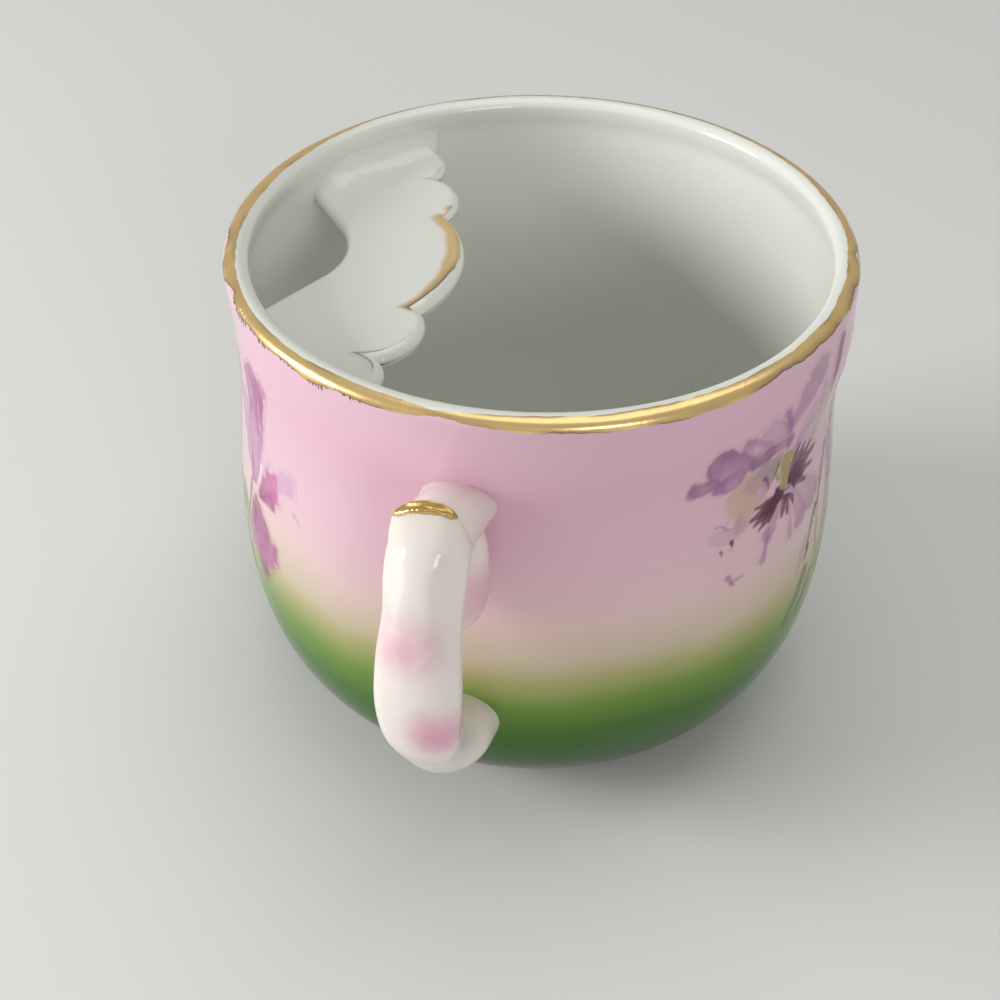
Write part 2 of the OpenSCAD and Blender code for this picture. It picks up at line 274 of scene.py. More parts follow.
profile_radius, profile_height = bowl_profile()
angles = np.arange(BOWL_SIDES) * 2 * np.pi / BOWL_SIDES
bowl, _ = surface(
    "porcelain_bowl",
    turned(profile_radius[:, None], angles[None, :], profile_height[:, None]),
    wrap_columns=True,
)
bowl.data.materials.append(glazed("sprayed_glaze", ground_colour_and_shade, 0.02, 0.28, 0.13))
bowl.data.materials.append(glazed("white_glaze", white_colour))
lip_row = int(np.argmax(profile_height > LIP_HEIGHT + WHITE_FROM * LIP_RADIUS))
foot_row = int(np.argmax(profile_radius > FOOT_RADIUS - FOOT_WIDTH))
face_row = np.arange(len(bowl.data.polygons)) // BOWL_SIDES
white_rows = (face_row >= lip_row) | (face_row < foot_row)
bowl.data.polygons.foreach_set("material_index", white_rows.astype(np.int32))
welded(bowl)
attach(bowl, "root")
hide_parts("bowl")


# The foot ring. Turned from the bowl's own clay, wiped clean of glaze so that it doesn't stick
# in the kiln, and ground flat where the cup stands. It is matt, and worn grey at its edges.
FOOT_ROUND = 0.0006
foot_corner = np.linspace(0, np.pi / 2, 8)
foot_inside = FOOT_RADIUS - FOOT_WIDTH
foot_radius = np.concatenate([
    [foot_inside], foot_inside + FOOT_ROUND - FOOT_ROUND * np.cos(foot_corner),
    FOOT_RADIUS - FOOT_ROUND + FOOT_ROUND * np.sin(foot_corner), [FOOT_RADIUS],
])
foot_height = np.concatenate([
    [FOOT_HEIGHT], FOOT_ROUND - FOOT_ROUND * np.sin(foot_corner),
    FOOT_ROUND - FOOT_ROUND * np.cos(foot_corner), [FOOT_HEIGHT],
])
foot_turn = angles[None, :]
foot_points = np.stack([
    foot_radius[:, None] * np.cos(foot_turn), foot_radius[:, None] * np.sin(foot_turn),
    foot_height[:, None] + 0 * foot_turn,
], -1)
foot, _ = surface("unglazed_foot", foot_points, wrap_rows=True, wrap_columns=True)
bare, shader = new_material("bare_porcelain")
grey = stretched(bare, noise(bare, 0.0015, 4.0, 0.7), 0.45, 0.7)
feed(bare, shader, {
    "Base Color": mixed(bare, grey, (0.64, 0.62, 0.57, 1), (0.38, 0.35, 0.31, 1)),
    "Roughness": 0.75, "Normal": bumps(bare, 0.0004, 3.0, 0.25, 0.0002),
})
foot.data.materials.append(bare)
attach(foot, "root")
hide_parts("foot_ring")


# The moustache guard. A scalloped shelf pressed in porcelain and stuck inside the lip with
# slip, whose joint is sponged to a fillet. Its edges are rounded, and a drinking opening is
# left at the wall. It lies at a right angle to the handle, near enough.
GUARD_TURN, GUARD_SHIFT, SIP_SHIFT = math.radians(-82), -0.0010, -0.0025
GUARD_HEIGHT, GUARD_THICKNESS, GUARD_WIDTH = 0.0792, 0.0030, 0.0333
GUARD_FILLET, FAR_FILLET, FAR_FROM, FAR_TO, GUARD_BED = 0.0018, 0.0056, 0.004, 0.022, 0.0003
SIP_WIDTH, SIP_DEPTH, SIP_NOSE, SIP_FADE = 0.0380, 0.0139, 0.0145, 0.008
DISH_DEPTH, DISH_AT, DISH_REACH = 0.0004, 0.0265, 0.007
GROOVE_DEPTH, GROOVE_WIDTH, GROOVE_LENGTH = 0.00030, 0.0013, 0.0022
GUARD_WALL = float(inside_radius(np.array(GUARD_HEIGHT)))
SCALLOP_SHARES = ((0.288, 0.0, 0.712), (0.625, 0.565, 0.276), (0.583, 0.936, 0.198), (0.522, 1.162, 0.189))
SCALLOPS = [
    (GUARD_WALL - out * GUARD_WIDTH, GUARD_SHIFT + side * across * GUARD_WIDTH, size * GUARD_WIDTH)
    for out, across, size in SCALLOP_SHARES for side in ((-1, 1) if across else (1,))
]


def scallop_edge(across):
    """Distance from the cup's axis to the guard's free edge: the least of the scallops' arcs."""
    reach = [
        np.where(np.abs(across - y) < r, x - np.sqrt(np.maximum(r * r - (across - y) ** 2, 0)), np.inf)
        for x, y, r in SCALLOPS
    ]
    return np.minimum.reduce(reach)


def scallop_depth(out, across):
    """Distance of a point of the guard from its scalloped edge: its depth in the scallops'
    discs, each of which goes on to the wall as a strip behind its middle."""
    return np.maximum.reduce([r - np.hypot(np.minimum(out - x, 0), across - y) for x, y, r in SCALLOPS])


SIP_NOSE_AT = GUARD_WALL - SIP_DEPTH + SIP_NOSE
SIP_END = math.sqrt(GUARD_WALL ** 2 - (SIP_WIDTH / 2) ** 2)
SIP_TANGENT = math.atan2(SIP_WIDTH / 2, SIP_END - SIP_NOSE_AT) + math.acos(
    SIP_NOSE / math.hypot(SIP_END - SIP_NOSE_AT, SIP_WIDTH / 2))
SIP_CORNER = SIP_NOSE_AT + SIP_NOSE * math.cos(SIP_TANGENT), SIP_NOSE * math.sin(SIP_TANGENT)


def sip_edge(across):
    """Distance from the cup's axis to the edge of the drinking opening: an arc about the nose
    and straight flanks, which go on through the wall."""
    side = np.abs(across - SIP_SHIFT)
    slope = (SIP_END - SIP_CORNER[0]) / (SIP_WIDTH / 2 - SIP_CORNER[1])
    nose = SIP_NOSE_AT - np.sqrt(np.maximum(SIP_NOSE ** 2 - side ** 2, 0))
    flank = SIP_CORNER[0] + slope * (side - SIP_CORNER[1])
    return np.where(side < SIP_CORNER[1], nose, flank)


def sip_depth(out, across):
    """Distance of a point of the guard from the edge of the drinking opening."""
    side = np.abs(across - SIP_SHIFT)
    way = np.array([SIP_END, SIP_WIDTH / 2]) - SIP_CORNER
    way = way / np.linalg.norm(way)
    past, beside = out - SIP_CORNER[0], side - SIP_CORNER[1]
    share = past * way[0] + beside * way[1]
    flank = beside * way[0] - past * way[1]
    nose = np.hypot(out - SIP_NOSE_AT, side) - SIP_NOSE
    return np.where(share > 0, np.abs(flank), nose)


def edge_fall(depth, radius):
    """Fall of a rounded edge at a depth from it: a quarter circle of the given radius."""
    inside = np.clip(radius - depth, 0, radius)
    return radius - np.sqrt(radius ** 2 - inside ** 2)


def guard_top(out, across):
    """Height of the guard's top: a shallow dish that rises to the wall's fillet, which is
    larger away from the handle. The top falls at its rounded edges, and has a soft groove
    behind each notch between two scallops."""
    rounding = GUARD_THICKNESS / 2
    wall_gap = GUARD_WALL - np.hypot(out, across)
    dish = DISH_DEPTH * hump(out, DISH_AT, DISH_REACH)
    fillet_size = GUARD_FILLET + (FAR_FILLET - GUARD_FILLET) * soft_step(-across, FAR_FROM, FAR_TO)
    fillet = edge_fall(wall_gap, fillet_size) * soft_step(sip_depth(out, across), 0, SIP_FADE)
    height = GUARD_HEIGHT - dish + fillet
    for near, far, side in [(a, b, s) for a, b in ((0, 1), (1, 3), (3, 5)) for s in (0, 1)]:
        x0, y0, r0 = SCALLOPS[near + (side if near else 0)]
        x1, y1, r1 = SCALLOPS[far + side]
        span = math.hypot(x1 - x0, y1 - y0)
        share = (span ** 2 + r0 ** 2 - r1 ** 2) / (2 * span)
        rise = math.sqrt(max(r0 ** 2 - share ** 2, 0))
        turn = -1 if y1 > y0 else 1
        notch_x = x0 + share * (x1 - x0) / span + turn * rise * (y1 - y0) / span
        notch_y = y0 + share * (y1 - y0) / span - turn * rise * (x1 - x0) / span
        behind = np.clip(out - notch_x, 0, None)
        beside = across - notch_y * (1 - 4 * behind)
        height -= GROOVE_DEPTH * np.exp(-(beside / GROOVE_WIDTH) ** 2 - behind / GROOVE_LENGTH)
    height -= edge_fall(scallop_depth(out, across), rounding)
    return height - edge_fall(sip_depth(out, across), rounding)


def guard_bottom(out, across):
    """Height of the guard's underside: flat, with the same rounded edges."""
    rounding = GUARD_THICKNESS / 2
    rise = edge_fall(scallop_depth(out, across), rounding) + edge_fall(sip_depth(out, across), rounding)
    return GUARD_HEIGHT - GUARD_THICKNESS + np.minimum(rise, rounding)


def guard_place(out, across, height):
    """Points of the guard in the cup's frame, from its own distance out, place across and height."""
    c, s = math.cos(GUARD_TURN), math.sin(GUARD_TURN)
    return np.stack([out * c - across * s, out * s + across * c, height], -1)


guard_sweep = np.linspace(-GUARD_WALL, GUARD_WALL, 8001)
guard_wall_at = np.sqrt(np.maximum(GUARD_WALL ** 2 - guard_sweep ** 2, 0))
guard_inside = guard_sweep[scallop_edge(guard_sweep) < guard_wall_at]
guard_across = np.linspace(guard_inside.min(), guard_inside.max(), 421)[:, None]
guard_far = np.minimum(sip_edge(guard_across), np.sqrt((GUARD_WALL + GUARD_BED) ** 2 - guard_across ** 2))
guard_near = np.minimum(scallop_edge(guard_across), guard_far)
guard_share = (1 - np.cos(np.linspace(0, np.pi, 72)))[None, :] / 2
guard_out = guard_near + (guard_far - guard_near) * guard_share
guard_across = guard_across + 0 * guard_out
guard_over = guard_place(guard_out, guard_across, guard_top(guard_out, guard_across))
guard_under = guard_place(guard_out, guard_across, guard_bottom(guard_out, guard_across))
guard, _ = surface("scalloped_guard", np.hstack([guard_over, guard_under[:, ::-1]]), wrap_columns=True)
welded(guard, 2e-6)
guard.data.materials.append(glazed("guard_glaze", white_colour, 0.03))
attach(guard, "root")
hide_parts("moustache_guard")


# The handle. A flat scroll cast in porcelain and stuck on with slip: a long leaf lies over its
# strap, a smaller leaf curls down inside its upper arm, and a thumb crest stands on top.
# It is white under the glaze, with breaths of the bowl's pink on it.
STRAP_POWER, STRAP_LEAN, LEAF_FALL = 2.1, 0.0005, 0.32
CREASE_DEPTH, CREASE_WIDTH, CREASE_HALF = 0.00012, 0.0004, 0.0040
HOLLOW_DEPTH, BORDER_OUTSIDE, BORDER_INSIDE = 0.00035, 0.0008, 0.0036
CURL_AT, CURL_DROP, CURL_LEAN, CURL_SPREAD = 0.0540, 0.0222, 0.0016, 0.0004
CURL_HALF, CURL_WIDTH, CURL_DEPTH = 0.0095, 0.0060, 0.0046
CREST_AT, CREST_FOOT, CREST_LEAN, CREST_EDGE = 0.0606, 0.0120, 0.0018, 0.0009
CREST_WIDTH, CREST_SHOULDER, CREST_DEPTH = 0.0041, 0.0014, 0.0040
CREST_DROP, CREST_ARCH, CREST_MIDDLE = 0.0031, 84.0, 0.0009
HANDLE_VOXEL, SPONGE_PASSES = 0.00022, 12
# Each station of the strap, in mm: reach from the axis, drop below the rim, half width, half
# thickness.
STRAP_STATIONS = np.array([
    (46.9, 15.4, 5.6, 3.3), (48.7, 15.0, 5.4, 3.5), (51.5, 14.3, 5.2, 4.0), (56.5, 12.6, 5.2, 4.5),
    (61.0, 11.9, 5.5, 4.5), (63.4, 15.5, 5.6, 4.3), (64.5, 21.5, 5.5, 4.0), (66.3, 28.0, 6.0, 3.8),
    (67.5, 35.0, 6.2, 3.7), (66.7, 41.6, 5.7, 3.9), (63.2, 47.8, 4.8, 4.4), (58.8, 52.6, 5.2, 5.4),
    (54.8, 55.8, 6.2, 5.8), (51.2, 57.0, 6.4, 5.7), (48.6, 57.2, 6.6, 5.8),
]) / 1000
# Each breath of pink: its middle and its size in metres, and its share.
BREATHS = (
    ((0.0690, -0.0018, 0.0630), 0.0074, 0.70), ((0.0706, 0.0030, 0.0478), 0.0068, 1.00),
    ((0.0560, 0.0060, 0.0620), 0.0085, 0.80), ((0.0560, -0.0060, 0.0620), 0.0085, 0.80),
    ((0.0540, 0.0000, 0.0280), 0.0080, 0.50),
)


def smooth_line(stations, steps):
    """Points along a smooth curve through the stations: Catmull-Rom cubics, with steps points
    in each stretch between two stations."""
    ends = np.vstack([2 * stations[0] - stations[1], stations, 2 * stations[-1] - stations[-2]])
    a, b, c, d = (ends[i:len(ends) - 3 + i, None] for i in range(4))
    f = (np.arange(steps) / steps)[None, :, None]
    run = b + f * (c - a) / 2 + f * f * (a - 2.5 * b + 2 * c - d / 2) + f ** 3 * (1.5 * (b - c) + (d - a) / 2)
    return np.vstack([run.reshape(-1, stations.shape[1]), stations[-1:]])


def strap_relief(along, across, half):
    """Height of the carving on the strap's outer face. The leaf that hangs from the crest has a
    flat middle and two sides that fall away, with three lobes each, and it sinks into the
    strap half way down. Below it the strap is a little hollow between two soft borders."""
    side = np.abs(across) / half
    leaf = soft_step(along, 0.15, 0.21) * (1 - soft_step(along, 0.33, 0.42))
    lobes = 0.07 * np.sin(np.pi * (along - 0.17) * 17)
    falling = np.maximum(side - 0.38 - lobes, 0) * half * LEAF_FALL * leaf
    tip = np.abs(across) - CREASE_HALF * (0.46 - along) / 0.10
    crease = CREASE_DEPTH * hump(tip, 0, CREASE_WIDTH) * soft_step(along, 0.36, 0.39)
    crease *= 1 - soft_step(along, 0.42, 0.45)
    hollow = soft_step(half - np.abs(across), BORDER_OUTSIDE, BORDER_INSIDE) * soft_step(along, 0.44, 0.56)
    return crease - falling - HOLLOW_DEPTH * hollow * (1 - soft_step(along, 0.70, 0.84))


def strap_points():
    """Rings of points round the strap: rounded rectangles square to its middle line, whose
    outer side carries the relief."""
    line = smooth_line(STRAP_STATIONS * (1, -1, 1, 1), 14) + (0, CUP_HEIGHT, 0, 0)
    way = np.gradient(line[:, :2], axis=0)
    way /= np.linalg.norm(way, axis=1)[:, None]
    length = np.cumsum(np.linalg.norm(np.diff(line[:, :2], axis=0, prepend=line[:1, :2]), axis=1))
    along = (length / length[-1])[:, None]
    turn = np.linspace(0, 2 * np.pi, 72, endpoint=False)[None, :]
    round_share = 2 / STRAP_POWER
    across = np.sign(np.cos(turn)) * np.abs(np.cos(turn)) ** round_share * line[:, 2:3]
    lean = STRAP_LEAN * soft_step(along, 0.22, 0.45) * (1 - soft_step(along, 0.80, 0.98))
    out = np.sign(np.sin(turn)) * np.abs(np.sin(turn)) ** round_share * line[:, 3:4]
    out = out + strap_relief(along, across, line[:, 2:3]) * soft_step(np.sin(turn), 0.1, 0.6)
    side_x, side_z = -way[:, 1:2], way[:, 0:1]
    return np.stack([line[:, 0:1] + side_x * out, across - lean, line[:, 1:2] + side_z * out], -1)


def closed_loft(rings):
    """Rings with a point at each end, so that a wrapped grid through them is a closed solid."""
    first = np.repeat(rings[:1].mean(1, keepdims=True), rings.shape[1], 1)
    last = np.repeat(rings[-1:].mean(1, keepdims=True), rings.shape[1], 1)
    return np.concatenate([first, rings, last])


def inner_leaf_points():
    """The leaf inside the upper arm: rings down a leaning line, wide and blunt at its lower
    end, which curls towards the strap, with a groove down its middle."""
    down = np.linspace(-1, 1, 44)[:, None]
    turn = np.linspace(0, 2 * np.pi, 48, endpoint=False)[None, :]
    fullness = (1 - np.abs(down) ** 2.8) ** (1 / 2.2)
    half_width = (CURL_WIDTH + CURL_SPREAD * down) * fullness
    half_depth = CURL_DEPTH * fullness
    groove = 1 - 0.16 * hump(np.cos(turn), 0, 0.22)
    x = CURL_AT + CURL_LEAN * down + half_depth * np.sin(turn) * groove
    z = CUP_HEIGHT - CURL_DROP - CURL_HALF * down
    return closed_loft(np.stack([x, half_width * np.cos(turn), z + 0 * turn], -1))


def crest_points():
    """The thumb crest: rings that rise from shoulders wider than the arm to a thin edge, which
    leans outwards and arches down to its sides."""
    up = np.linspace(0, 1, 26)[:, None]
    turn = np.linspace(0, 2 * np.pi, 48, endpoint=False)[None, :]
    half_width = CREST_WIDTH + CREST_SHOULDER * (1 - up ** 2)
    half_depth = CREST_DEPTH * (1 - up) ** 1.2 + CREST_EDGE
    across = half_width * np.sign(np.cos(turn)) * np.abs(np.cos(turn)) ** 0.8
    x = CREST_AT + CREST_LEAN * up + half_depth * np.sin(turn)
    arch = CREST_ARCH * (across - CREST_MIDDLE) ** 2 * up
    z = CUP_HEIGHT - CREST_FOOT + (CREST_FOOT - CREST_DROP) * up - arch
    return closed_loft(np.stack([x, across, z], -1))


def fused(name, parts, voxel, passes):
    """One closed skin over several solids, as slip and glaze leave it: their points and faces
    in one mesh, remeshed at the voxel's size and smoothed."""
    pieces = [surface(name, part, wrap_columns=True)[0] for part in parts]
    with bpy.context.temp_override(active_object=pieces[0], selected_editable_objects=pieces):
        bpy.ops.object.join()
    whole = pieces[0]
    welded(whole)
    remesh = whole.modifiers.new("fuse", "REMESH")
    remesh.mode, remesh.voxel_size, remesh.use_smooth_shade = "VOXEL", voxel, True
    smooth = whole.modifiers.new("sponge", "SMOOTH")
    smooth.factor, smooth.iterations = 0.5, passes
    seen = whole.evaluated_get(bpy.context.evaluated_depsgraph_get())
    mesh = bpy.data.meshes.new_from_object(seen)
    whole.modifiers.clear()
    whole.data = mesh
    mesh.shade_smooth()
    return whole


def tinted_colour(material):
    """White with a little red in it, and breaths of pink that fade out unevenly."""
    colour = mixed(material, 0.3, white_colour(material), (0.9, 0.66, 0.62, 1))
    for middle, size, share in BREATHS:
        gap = add(material, "VectorMath", {0: place(material), 1: middle}, operation="DISTANCE")
        uneven = reckoned(material, "MULTIPLY", noise(material, 0.006), 0.0050)
        reach = reckoned(material, "ADD", gap.outputs["Value"], uneven)
        breath = stretched(material, reach, 0.35 * size, size + 0.003, share, 0.0)
        colour = mixed(material, breath, colour, (0.74, 0.37, 0.5, 1))
    return colour


handle_parts = [closed_loft(strap_points()), inner_leaf_points(), crest_points()]
handle = fused("scroll_handle", handle_parts, HANDLE_VOXEL, SPONGE_PASSES)
handle.data.materials.clear()
handle.data.materials.append(glazed("tinted_glaze", tinted_colour, 0.03))
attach(handle, "root")
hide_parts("handle")


# The rim's gilding. Liquid gold brushed over the lip's outer half, and a little down the wall
# beside the handle, then fired. The brush left its lower edge wavy, with stray hairs to the
# left of the handle, and the gold is thin and brown along its edges.
GOLD_LIFT, GOLD_STEPS = 0.00003, 4200
GOLD_FROM, HAIR_LENGTH, LOW_EDGE, HIGH_EDGE = 0.00075, 0.0011, 0.00040, 0.00020


def wander(turn, low, high, seed):
    """A seeded wave round the cup: cosines of whole numbers of turns from low to high, each
    with a random phase, which add up to about 1 at most."""
    counts = np.arange(low, high).reshape(-1, *(1,) * turn.ndim)
    phases = np.random.default_rng(seed).uniform(0, 2 * np.pi, counts.shape)
    return np.cos(counts * turn + phases).sum(0) / (2.2 * math.sqrt(len(counts) / 2))


def number_layer(piece, name, values):
    """A number for each point of the piece, for its material to read."""
    layer = piece.data.attributes.new(name, "FLOAT", "POINT")
    layer.data.foreach_set("value", values.astype(np.float32).ravel())


# Degrees go round the cup from the handle. The gold's edges are reaches from the foot of the
# lip's arc, up over it or, below 0, down the wall, and rim_high starts as degrees of that arc.
rim_turn = np.arange(GOLD_STEPS) * 2 * np.pi / GOLD_STEPS
rim_rows = (np.linspace(0, 1, 20) ** 1.5)[:, None]
rim_degrees = (np.degrees(rim_turn) + 180) % 360 - 180
clusters = np.clip(0.45 + 1.5 * wander(rim_turn, 14, 50, 5), 0.05, 1)
hairs_here = hump(rim_degrees, -46, 30, 4) * clusters + 0.04
hairs = np.clip(1.6 * wander(rim_turn, 180, 760, 8) - 0.20, 0, 1) * hairs_here
rim_gap = hump(rim_degrees, -4, 5)
rim_high = 82 + 10 * np.cos(rim_turn - math.radians(90)) - 20 * rim_gap
rim_high += 42 * hump(rim_degrees, -95, 30)
rim_high = rim_high + 5 * wander(rim_turn, 3, 30, 1) + 2 * wander(rim_turn, 60, 120, 2)
rim_high = LIP_RADIUS * np.radians(rim_high)
rim_low = GOLD_FROM - 0.00105 * hump(rim_degrees, -27, 17) + 0.0004 * rim_gap
rim_low -= 0.00100 * hump(rim_degrees, 28, 24)
rim_low = rim_low - 0.00048 * wander(rim_turn, 8, 44, 3) - 0.00008 * wander(rim_turn, 60, 160, 4)
rim_low_hairs = rim_low - HAIR_LENGTH * hairs
rim_reach = rim_low_hairs + (rim_high - rim_low_hairs) * rim_rows
over_lip = np.maximum(rim_reach, 0) / LIP_RADIUS
rim_radius = np.where(
    rim_reach > 0, RIM_RADIUS - LIP_HALF + (LIP_HALF + GOLD_LIFT) * np.cos(over_lip),
    outside_radius(LIP_HEIGHT + np.minimum(rim_reach, 0)) + GOLD_LIFT)
rim_height = LIP_HEIGHT + np.where(rim_reach > 0, (LIP_RADIUS + GOLD_LIFT) * np.sin(over_lip), rim_reach)
rim_gold, _ = surface("rim_gold", turned(rim_radius, rim_turn[None, :], rim_height), wrap_columns=True)
low_edge = np.exp(-np.maximum(rim_reach - rim_low, 0) / LOW_EDGE)
high_edge = np.exp(-(rim_high - rim_reach) / HIGH_EDGE)
low_dark = hump(rim_degrees, -46, 16, 4) + hump(rim_degrees, 66, 24, 4)
low_dark = np.clip(0.35 + 0.9 * low_dark + 0.9 * wander(rim_turn, 8, 40, 6) + 2 * hairs_here, 0, 1)
high_dark = np.clip(0.2 + 0.7 * hump(rim_degrees, 24, 20, 4) + 0.9 * wander(rim_turn, 8, 40, 7), 0, 1)
number_layer(rim_gold, "thin", np.clip(low_edge * low_dark + 0.9 * high_edge * high_dark, 0, 1))


def gold(name, metal=1.0, bright=(0.93, 0.62, 0.22, 1)):
    """Fired gold: a bright metal with fine brushed unevenness, dull brown where it is thin,
    and white, as the glaze under it, where it fades out."""
    material, shader = new_material(name)
    thin = add(material, "Attribute", attribute_name="thin").outputs["Fac"]
    fade = add(material, "Attribute", attribute_name="fade").outputs["Fac"]
    cloud = stretched(material, noise(material, 0.0025, 4.0, 0.6), 0.55, 0.80, 0.0, 0.25)
    worn = reckoned(material, "MAXIMUM", thin, cloud)
    colour = mixed(material, worn, bright, (0.11, 0.055, 0.025, 1))
    shine = stretched(material, worn, 0.0, 1.0, metal, 0.3 * metal)
    feed(material, shader, {
        "Base Color": mixed(material, fade, colour, (0.8, 0.79, 0.74, 1)),
        "Metallic": reckoned(material, "MULTIPLY", shine, reckoned(material, "SUBTRACT", 1.0, fade)),
        "Roughness": stretched(material, worn, 0.0, 1.0, 0.24, 0.42),
        "Normal": bumps(material, 0.0015, 3.0, 0.10, 0.0004),
    })
    return material


rim_gold.data.materials.append(gold("rim_gilt", 0.72, (0.94, 0.66, 0.29, 1)))
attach(rim_gold, "root")
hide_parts("rim_gilding")


# The guard's gilding. A worn gold line inside the white edge of the large middle scallop,
# feathered inwards by the brush, and broken at the notches beside it.
LINE_START, LINE_END, LINE_NEAR, LINE_FAR = -0.0376, 0.0330, 0.0002, 0.0056
LINE_WIDTH, LINE_BLUNT, LINE_TAPER, LINE_FEATHER = 0.0027, 0.0006, 0.0012, 0.0012
# Each piece of the line: its start and its end across the guard, and its share of the width.
LINE_PIECES = (
    (-0.0372, -0.0345, 0.16), (-0.0322, -0.0272, 0.50), (-0.0186, 0.0142, 1.0), (0.0190, 0.0232, 0.17),
    (0.0238, 0.0300, 0.50),
)
line_across = np.linspace(LINE_START, LINE_END, 1412)[:, None]
line_in = np.linspace(LINE_NEAR, LINE_FAR, 120)[None, :]
line_out = scallop_edge(line_across) + line_in
line_across = line_across + 0 * line_out
line_depth = scallop_depth(line_out, line_across)
line_way = line_across / 0.036
line_piece = np.maximum.reduce([
    share * soft_step(line_across, start - LINE_BLUNT, start + LINE_TAPER)
    * soft_step(end - line_across, -LINE_BLUNT, LINE_TAPER)
    for start, end, share in LINE_PIECES])
line_wide = LINE_WIDTH * line_piece * (1 - 0.40 * soft_step(line_across, 0, 0.012))
line_wide *= 1 - 0.45 * hump(line_across, -0.0152, 0.0011)
line_wide *= 1 - 0.45 * soft_step(-line_across, 0.0152, 0.0160)
line_wide *= 1 + 0.12 * wander(line_way, 10, 40, 12)
line_from = 0.0006 + 0.0009 * soft_step(line_across, -0.004, 0.008) + 0.0001 * wander(line_way, 10, 80, 11)
line_inner = line_from + line_wide - line_depth
line_cover = np.minimum(line_depth - line_from, line_inner)
line_keep = (line_cover[1:, 1:] > 0) & (line_out[1:, 1:] < sip_edge(line_across[1:, 1:]) - 0.001)
line_keep &= np.hypot(line_out, line_across)[1:, 1:] < GUARD_WALL - 0.0016
line_height = guard_top(line_out, line_across) + GOLD_LIFT
line_points = guard_place(line_out, line_across, line_height)
guard_gold, line_used = surface("guard_gold", line_points, keep=line_keep)
line_edge = soft_step(line_across, -0.002, 0.003) * np.exp(-(line_depth - line_from) / 0.00048)
line_edge = np.maximum(line_edge, 0.8 * (line_piece < 0.2))
number_layer(guard_gold, "thin", np.clip(line_edge, 0, 1).ravel()[line_used])
number_layer(guard_gold, "fade", (1 - soft_step(line_inner, 0, LINE_FEATHER)).ravel()[line_used])
guard_gold.data.materials.append(gold("guard_gilt", 0.30, (0.78, 0.56, 0.29, 1)))
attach(guard_gold, "root")
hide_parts("guard_gilding")


# The crest's gilding. A touch of gold along the thin edge of the thumb crest, brushed on from
# above, so that it runs a little way down both faces. It is browner towards its right.
GILT_WIDTH, GILT_HALF = 0.0007, 0.0049
CREST_BACK, CREST_SIDE, CREST_LOW = 0.0585, 0.0052, 0.0080


def numbers(layer, name, count, kind=np.float64):
    """The numbers of one property of a mesh layer, count of them for each element, as rows."""
    values = np.empty(len(layer) * count, kind)
    layer.foreach_get(name, values)
    return values.reshape(-1, count)


skin = handle.data
skin_points = numbers(skin.vertices, "co", 3)
skin_cells = numbers(skin.loops, "vertex_index", 1, np.int32).reshape(-1, 4)
x, y, z = skin_points.T
on_crest = (x > CREST_BACK) & (np.abs(y) < CREST_SIDE) & (z > CUP_HEIGHT - CREST_LOW)
crest_top = z[on_crest].max()
gilt_band = GILT_WIDTH * (1 + 0.12 * np.sin(1700 * y + 1) + 0.06 * np.sin(4100 * y))
gilt_band = gilt_band * np.sqrt(np.clip(1.02 - (y / GILT_HALF) ** 6, 0, 1))
gilt_cover = np.where(on_crest, gilt_band - (crest_top - CREST_ARCH * (y - CREST_MIDDLE) ** 2 - z), -1)
crest_gold, gilt_used = four_sided(
    "crest_gold", skin_points + GOLD_LIFT * numbers(skin.vertex_normals, "vector", 3),
    skin_cells[(gilt_cover[skin_cells] > 0).any(1)])
gilt_cover, gilt_y = gilt_cover[gilt_used], y[gilt_used]
number_layer(crest_gold, "fade", 1 - soft_step(gilt_cover, 0, 0.00018))
number_layer(crest_gold, "thin", np.maximum(
    0.7 * (1 - soft_step(gilt_cover, 0.0001, 0.0004)), 0.45 * soft_step(gilt_y, 0.0005, 0.0030)))
crest_gold.data.materials.append(gold("crest_gilt"))
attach(crest_gold, "root")
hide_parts("crest_gilding")


# The flower sprays. Violas in the usual transfer style, printed in ceramic colours, soaked off
# their paper, laid on the sprayed wall and fired into its glaze. They have no thickness to
# speak of. Each is painted here as overlapping petals, stamens, stems and leaves.
PRINT_STEP, PRINT_LIFT, PRINT_RADIUS = 0.0002, 0.00002, 0.0504
PRINT_HALF, PRINT_LOW, PRINT_HIGH = 0.0255, 0.0270, 0.0835
PETAL_BORDER, TURN, MM = 0.0012, 6.28, 0.001
# The colours of the print, in linear light.
COLOURS = {
    "violet": (0.34, 0.125, 0.31), "purple": (0.21, 0.06, 0.175), "lilac": (0.42, 0.22, 0.38),
    "blue": (0.39, 0.26, 0.37), "pale": (0.6, 0.37, 0.5), "cream": (0.6, 0.42, 0.34),
    "maroon": (0.09, 0.004, 0.034), "yellow": (0.36, 0.3, 0.12), "magenta": (0.29, 0.03, 0.15),
    "mauve": (0.4, 0.11, 0.29), "orchid": (0.5, 0.27, 0.45), "rose": (0.54, 0.12, 0.33),
    "mist": (0.6, 0.36, 0.53), "olive": (0.095, 0.095, 0.04), "dark": (0.04, 0.03, 0.022),
    "leaf": (0.06, 0.11, 0.025), "white": (0.76, 0.64, 0.68), "grey": (0.38, 0.27, 0.29),
    "dusk": (0.2, 0.05, 0.105),
}


def ripple(u, v, size, seed):
    """Seeded soft noise from about -1 to 1: eight plane waves in random directions, whose
    lengths are around the given size."""
    random = np.random.default_rng(seed)
    ways, starts = random.uniform(0, TURN, (2, 8))
    total = 0
    for way, start, stretch in zip(ways, starts, random.uniform(0.6, 1.6, 8)):
        total += np.sin((u * math.cos(way) + v * math.sin(way)) * TURN / (size * stretch) + start)
    return total / 4


